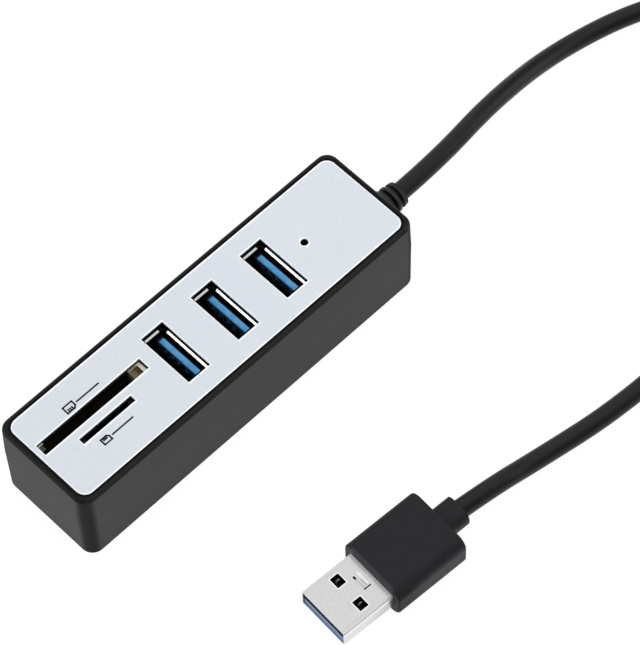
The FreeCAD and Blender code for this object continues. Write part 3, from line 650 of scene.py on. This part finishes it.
def makePortShell(name, middle, look, node):
    # the tube: a closed section (inside and outside of the sheet) carried round a rounded rectangle
    loop, normal = roundedLoop(look["width"], look["height"], look["corner"])
    out = np.array([0.0, 0.0, look["sheet"], look["sheet"]])[:, None, None]
    level = np.array([look["top"], look["bottom"], look["bottom"], look["top"]])[:, None, None]
    flat = loop + out * normal
    place = np.array((look["side"], middle, 0.0))
    tube = np.concatenate([flat, np.broadcast_to(level, (*flat.shape[:2], 1))], -1) + place
    faces = gridFaces(*flat.shape[:2], loopRows=True, loopColumns=True)[:, ::-1]
    parts = [(tube.reshape(-1, 3), faces)]
    # the lips: a flared strip on each side, along the straight between two bare corners
    for turn, (run, path) in enumerate(look["lips"]):
        depth = (look["height"], look["width"])[turn % 2]
        strip, quads = bentStrip(path, look["lipSheet"], run)
        along, out, level = strip.T
        out = out + depth / 2
        c, s = np.cos(turn * np.pi / 2), np.sin(turn * np.pi / 2)
        turned = np.stack([along * c - out * s, along * s + out * c, level], -1)
        parts.append((turned + place, outward(turned, quads)))
    points, faces = joined(parts)
    makePiece(name, points, faces, finishes["port_steel"], "port_steel", stands=[node])


for k, middle in enumerate(portShells["middles"], start=1):
    makePortShell(f"portShell{k}", middle, portShells, f"port_{k}_shell")
print("port shells made")


# the plug's pieces are drawn tip outwards, then laid where the solids lie
def layPlug(points, lay=plugLay):
    # across, up and towards the tip become the hub's axes
    c, s = np.cos(np.radians(lay["yaw"])), np.sin(np.radians(lay["yaw"]))
    axes = np.array([(c, -s, 0.0), (0.0, 0.0, 1.0), (-s, -c, 0.0)])
    return np.asarray(points) @ axes + lay["place"]


plugShell = {
    "width": 12.4, "height": 4.6, "corner": 0.50, "perCorner": 7, "length": 12.4, "sheet": 0.30,
    "edge": 0.07, "edgeRows": 2,
    # a strap between two cuts in the top: its start and end, rows of points inside them, its dip
    "strapZ": (1.50, 3.15), "strapRows": (0.35, 0.25), "strapDip": 0.14,
    "slits": [((-1.95, -1.25), (2.72, 3.15)), ((1.32, 1.60), (1.50, 3.15))],      # across, along
}


def inside(value, span, slack=0.0):
    return (value > span[0] - slack) & (value < span[1] + slack)


def makePlugShell(look, lay):
    # a sheet over (round the section, along the plug), less the cells of the windows and the cuts
    (left, (leftStart, _)), (right, _) = look["slits"]
    inner, outer = lay["windowX"]
    halfHeight, perCorner = look["height"] / 2, look["perCorner"]
    stops = np.array([-outer, -inner, *left, 0.0, *right, inner, outer])
    corners = roundedLoop(look["width"], look["height"], look["corner"], perCorner)[0]
    corners = corners.reshape(4, perCorner, 2)
    top = np.stack([stops[::-1], np.full(len(stops), halfHeight)], -1)
    bottom = np.stack([stops, np.full(len(stops), -halfHeight)], -1)
    loop = np.concatenate([corners[0], top, corners[1], corners[2], bottom, corners[3]])
    start, end = look["strapZ"]
    after, before = look["strapRows"]
    rows = [start, start + after, (start + end) / 2, leftStart, end - before, end]
    along = np.array([0.0, *rows, *lay["windowZ"], look["length"]])
    grid = np.concatenate([np.repeat(loop[None], len(along), 0),
                           np.repeat(along[:, None, None], len(loop), 1)], -1)

    faces = gridFaces(len(along), len(loop), loopColumns=True)
    x, y, z = grid.reshape(-1, 3)[faces].mean(1).T                # the middles of the cells
    flat = abs(y) > halfHeight - tiny
    gone = flat & inside(abs(x), lay["windowX"]) & inside(z, lay["windowZ"])
    for across, span in look["slits"]:
        gone |= flat & (y > 0) & inside(x, across) & inside(z, span)

    # the strap dips by dip * sin(pi t), t from 0 to 1 along it
    x, y, z = grid.reshape(-1, 3).T
    strap = inside(x, (left[1], right[0]), tiny) & inside(z, look["strapZ"])
    strap &= y > halfHeight - tiny
    y = y - np.where(strap, look["strapDip"] * np.sin(np.pi * (z - start) / (end - start)), 0.0)
    piece = makePiece("plugShell", layPlug(np.stack([x, y, z], -1)), faces[~gone],
                      finishes["plug_steel"], "plug_steel", stands=["plug_shell"])
    thicken(piece, "sheet", look["sheet"])
    return bevelEdges(piece, look["edge"], look["edgeRows"])


makePlugShell(plugShell, plugLay)
print("plug shell made")


latchSprings = {
    "spread": 3.25, "shift": -0.42, "across": 0.36, "sheet": 0.12,
    # ahead, up
    "path": [(4.60, 1.30), (4.80, 1.47), (5.05, 1.56), (5.35, 1.58), (5.60, 1.54), (5.78, 1.42),
             (5.90, 1.24)],
}


def makeLatchSprings(look):
    # a narrow hooped leaf behind each window
    parts = []
    for middle in (-look["spread"] + look["shift"], look["spread"] + look["shift"]):
        run = (middle - look["across"] / 2, middle + look["across"] / 2)
        strip, quads = bentStrip(look["path"], look["sheet"], run)
        points = layPlug(strip[:, (0, 2, 1)])
        parts.append((points, outward(points, quads)))
    steel = brightSteel("springSteel", 0.22, 0.40)
    makePiece("latchSprings", *joined(parts), steel, "plug_steel")


makeLatchSprings(latchSprings)
print("latch springs made")


cardGuide = {
    "x": (-3.88, -1.40), "y": (-18.25, -15.18), "rows": (32, 40),
    "bottom": 12.2, "recess": 19.90, "rail": 0.34, "nearRail": 0.20, "slope": 0.08,
    "inner": (-3.46, -15.98, -17.75),          # where the left, far and near rails end
    # a hooped leaf in the recess: along, level
    "leaf": [(-17.05, 19.78), (-16.88, 19.91), (-16.66, 19.97), (-16.42, 19.98), (-16.20, 19.95),
             (-16.05, 19.86)],
    "leafAcross": (-2.75, -2.15), "leafSheet": 0.10,
    # a rolled lead-in tab at the near end: across, level
    "tab": [(-4.00, 15.0), (-4.00, 20.14), (-3.975, 20.25), (-3.92, 20.295), (-3.72, 20.30),
            (-3.645, 20.275), (-3.62, 20.18)],
    "tabAlong": (-42.0, -40.55), "tabSheet": 0.12, "tabTop": 20.30,
    # the hollowed block beside it
    "blockX": (-3.66, -2.60), "blockY": (-42.0, -40.75), "blockRows": (14, 8),
    "blockLevel": 19.90, "blockBottom": 14.0, "hollow": 0.04,
    "shadeDepth": 3.0,
}


def makeCardGuide(look):
    left, far, near = look["inner"]
    slope = look["slope"]

    def railed(x, y):
        # over the recess: 1 on a rail, falling to 0 over the slope at its inner edge
        leftRail = np.clip((left + slope - x) / slope, 0, 1)
        farRail = np.clip((y - far + slope) / slope, 0, 1)
        nearRail = np.clip((near + slope - y) / slope, 0, 1)
        high = look["rail"] * np.maximum(leftRail, farRail)
        return look["recess"] + np.maximum(high, look["nearRail"] * nearRail)

    def hollowed(x, y):
        # a shallow trough along the block: level - hollow (1 - t^2), t from -1 to 1 across it
        t = (2 * x - sum(look["blockX"])) / (look["blockX"][1] - look["blockX"][0])
        return look["blockLevel"] - look["hollow"] * (1 - t * t)

    def put(name, shape, finish, slot, stands=()):
        points, faces = shape
        makePiece(name, points, outward(points, faces), finish, slot, stands=stands)

    xs, ys = (np.linspace(*look[axis], rows) for axis, rows in zip("xy", look["rows"]))
    blocks = slab(xs, ys, railed, look["bottom"])
    put("guideBlocks", blocks, finishes["guide"], "guide", ["card_guide"])

    leaf = bentStrip(look["leaf"], look["leafSheet"], look["leafAcross"])
    brown = plastic("leafBrown", (0.075, 0.042, 0.018), 0.5, 0.2)
    put("guideLeaf", leaf, brown, "contact", ["card_switch_leaf"])

    points, faces = bentStrip(look["tab"], look["tabSheet"], look["tabAlong"])
    steel = slotPaintedShade("tabSteel", (0.80, 0.78, 0.73), look["tabTop"], look["shadeDepth"])
    put("leadInTab", (points[:, (1, 0, 2)], faces), steel, "card_steel")

    names = ("blockX", "blockY")
    xs, ys = (np.linspace(*look[name], rows) for name, rows in zip(names, look["blockRows"]))
    rail = slab(xs, ys, hollowed, look["blockBottom"])
    shade = slotPaintedShade("railBrown", (0.15, 0.14, 0.12), look["blockLevel"], look["shadeDepth"])
    put("leadInRail", rail, shade, "socket")


makeCardGuide(cardGuide)
print("card guide made")


brightEdges = {
    # offset into the plate, level
    "section": [(-0.02, 20.90), (-0.02, 21.07), (0.03, 21.115), (0.27, 21.120), (0.33, 21.09),
                (0.25, 20.95)],
    "plate": ((0.0, 0.0), (22.2, 86.6), 2.2),
    # middle, size and corner: the ports, the large slot, the small slot and the light's hole
    "openings": [((0.0, y), (13.6, 5.65), 0.08) for y in (-8.935, 4.385, 17.705)] + [
        ((-2.525, -28.5), (2.83, 27.1), 0.08), ((1.625, -28.5), (1.49, 13.55), 0.08),
        ((0.0, 26.12), (1.65, 1.65), 0.824)],
    "perCorner": 10, "sharp": 60.0,
}


def makeBrightEdges(look):
    # a small bead, its section carried round each outline: outline + offset * normal, at the level
    offset, level = np.array(look["section"])[..., None, None].transpose(1, 0, 2, 3)
    rings = [(*look["plate"], -1.0)] + [(*row, 1.0) for row in look["openings"]]
    parts = []
    for middle, size, corner, way in rings:
        loop, normal = roundedLoop(*size, corner, look["perCorner"])
        flat = loop + way * offset * normal + middle
        ring = np.concatenate([flat, np.broadcast_to(level, (*flat.shape[:2], 1))], -1)
        quads = gridFaces(*flat.shape[:2], loopRows=True, loopColumns=True)
        parts.append((ring.reshape(-1, 3), outward(ring, quads)))
    makePiece("brightEdges", *joined(parts), cutEdge(), "plate", sharp=look["sharp"])


makeBrightEdges(brightEdges)
print("bright edges made")


slotMarks = {
    "level": 21.112, "line": 0.36, "thickness": 0.012,
    # middle, card size along and across, which way the slot is, rule length
    "marks": [((-5.55, -28.6), (2.3, 1.6), 1.0, 5.6), ((4.65, -28.6), (1.9, 1.35), -1.0, 5.2)],
    "gap": 0.7,                                # from the card to the rule
    # as shares of the card: its cut corner, then its contacts, along and from where to where across
    "notch": 0.32, "contacts": (0.25, 0.45, 0.65), "contactSpan": (0.12, 0.30),
}


def makeSlotMarks(look):
    # every stroke is a flat bar between two points, half a line wide to each side
    bars = []
    low, high = look["contactSpan"]
    for (cx, cy), (a, b), toward, rule in look["marks"]:
        notch, ruleStart = b * look["notch"], a + look["gap"]
        start = cy - (ruleStart + rule) / 2
        outline = [(0, -b / 2), (a, -b / 2), (a, b / 2 - notch), (a - notch, b / 2), (0, b / 2)]
        strokes = list(zip(outline, outline[1:] + outline[:1]))
        strokes += [((a * t, b * low), (a * t, b * high)) for t in look["contacts"]]
        strokes += [((ruleStart, 0.0), (ruleStart + rule, 0.0))]
        for p, q in np.array(strokes):
            step = (q - p) / np.linalg.norm(q - p) * look["line"] / 2
            side = np.array([-step[1], step[0]])
            quad = np.array([p - step - side, q + step - side, q + step + side, p - step + side])
            level = np.full(len(quad), look["level"])
            bars.append(np.stack([cx + toward * quad[:, 1], start + quad[:, 0], level], -1))
    points = np.concatenate(bars)
    faces = np.arange(len(points)).reshape(-1, 4)
    first, second, third = (points[faces[:, i]] for i in range(3))
    up = np.cross(second - first, third - first)[:, 2] > 0
    faces = np.where(up[:, None], faces, faces[:, ::-1])
    piece = makePiece("slotMarks", points, faces, plastic("printInk", grey(0.012), 0.6))
    thicken(piece, "ink", look["thickness"])


makeSlotMarks(slotMarks)
print("slot marks printed")


cable = {
    "diameter": 4.1,
    "route": [
        (0.0, 52.5, 9.6), (0.0, 63.5, 9.6), (-2.58, 82.5, 8.6), (-4.76, 104.0, 2.05),
        (0.72, 125.0, 2.05), (13.0, 145.0, 2.05), (35.0, 155.5, 2.05), (56.0, 146.5, 2.05),
        (66.0, 124.0, 2.05), (65.5, 98.0, 2.05), (63.46, 73.0, 2.05), (62.88, 50.0, 2.05),
        (59.45, 30.5, 2.05), (58.36, 19.993, 4.4), (57.254, 11.259, 4.4),
    ],
    "length": 0.279,
    "order": 3, "perSpan": 20, "roundness": 12,
}


def makeCable(look):
    # a clamped B-spline through the room between the gland and the plug's neck
    curve = bpy.data.curves.new("cableLine", "CURVE")
    curve.dimensions = "3D"
    spline = curve.splines.new("NURBS")
    route = np.array(look["route"]) * mm
    spline.points.add(len(route) - 1)
    spline.points.foreach_set("co", np.column_stack([route, np.ones(len(route))]).ravel())
    spline.order_u = look["order"]
    spline.use_endpoint_u = True
    spline.use_smooth = True
    curve.resolution_u = look["perSpan"]
    curve.bevel_depth = look["diameter"] / 2 * mm
    curve.bevel_resolution = look["roundness"]
    curve.use_fill_caps = True
    curve.materials.append(finishes["jacket"])
    cord = bpy.data.objects.new("cableJacket", curve)
    bpy.context.scene.collection.objects.link(cord)
    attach(cord, "root")
    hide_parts("cable")


makeCable(cable)
print("cable laid")
